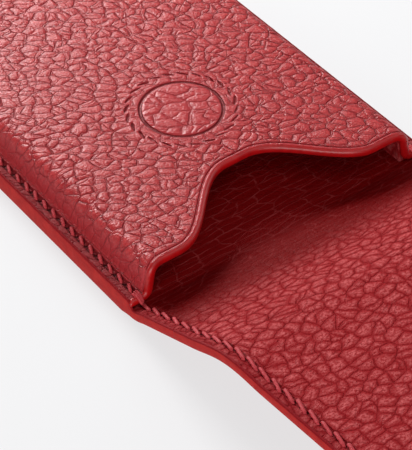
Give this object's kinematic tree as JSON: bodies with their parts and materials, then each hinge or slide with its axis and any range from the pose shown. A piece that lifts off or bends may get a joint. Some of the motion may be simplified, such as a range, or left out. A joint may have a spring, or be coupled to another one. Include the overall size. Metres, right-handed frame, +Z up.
{
  "type": "card holder",
  "caption": "Red grained-leather card holder with a moulded pocket, a wave-shaped mouth with a thumb notch, tonal stitching and a folding flap that closes with hidden magnets.",
  "frame": {"origin": "centre of the back panel's outer face, which the holder rests on", "axes": "+X across the width, +Y from the flap towards the pocket's closed end, +Z up out of the pocket's front"},
  "size_m": [0.0712, 0.1701, 0.019],
  "materials": {
    "outer_leather": "red pebbled full-grain leather, soft satin sheen, smooth glossy painted edges",
    "lining_leather": "red pebbled leather, satin, darker in its creases",
    "thread": "tonal red waxed thread, low sheen",
    "stiffener_board": "grey bonded board, matte",
    "magnet": "nickel-plated disc, satin"
  },
  "bodies": {
    "back": {"back_leather": "outer_leather", "back_board": "stiffener_board", "back_lining": "lining_leather", "pocket_leather": "outer_leather", "pocket_board": "stiffener_board", "pocket_lining": "lining_leather", "pocket_magnet": "magnet", "pocket_seam_left": "thread", "pocket_seam_right": "thread", "pocket_seam_end": "thread", "corner_tack_left": "thread", "corner_tack_right": "thread"},
    "spine": {"spine_leather": "outer_leather", "spine_board": "stiffener_board", "spine_lining": "lining_leather", "spine_seams": "thread"},
    "flap_root": {"flap_root_leather": "outer_leather", "flap_root_lining": "lining_leather", "flap_root_seams": "thread"},
    "flap_tip": {"flap_tip_leather": "outer_leather", "flap_tip_board": "stiffener_board", "flap_tip_lining": "lining_leather", "flap_magnet": "magnet", "flap_tip_seams": "thread"}
  },
  "joints": [
    {"name": "crease_fold", "type": "hinge", "parent": "back", "child": "spine", "pos_m": [0, -0.0495, 0.0039], "axis": [-1, 0, 0], "range_deg": [-12, 66.5]},
    {"name": "spine_fold", "type": "hinge", "parent": "spine", "child": "flap_root", "pos_m": [0, -0.05537, 0.00645], "axis": [-1, 0, 0], "range_deg": [0, 90]},
    {"name": "flap_flex", "type": "hinge", "parent": "flap_root", "child": "flap_tip", "pos_m": [0, -0.07783, 0.01273], "axis": [-1, 0, 0], "range_deg": [0, 18]}
  ]
}
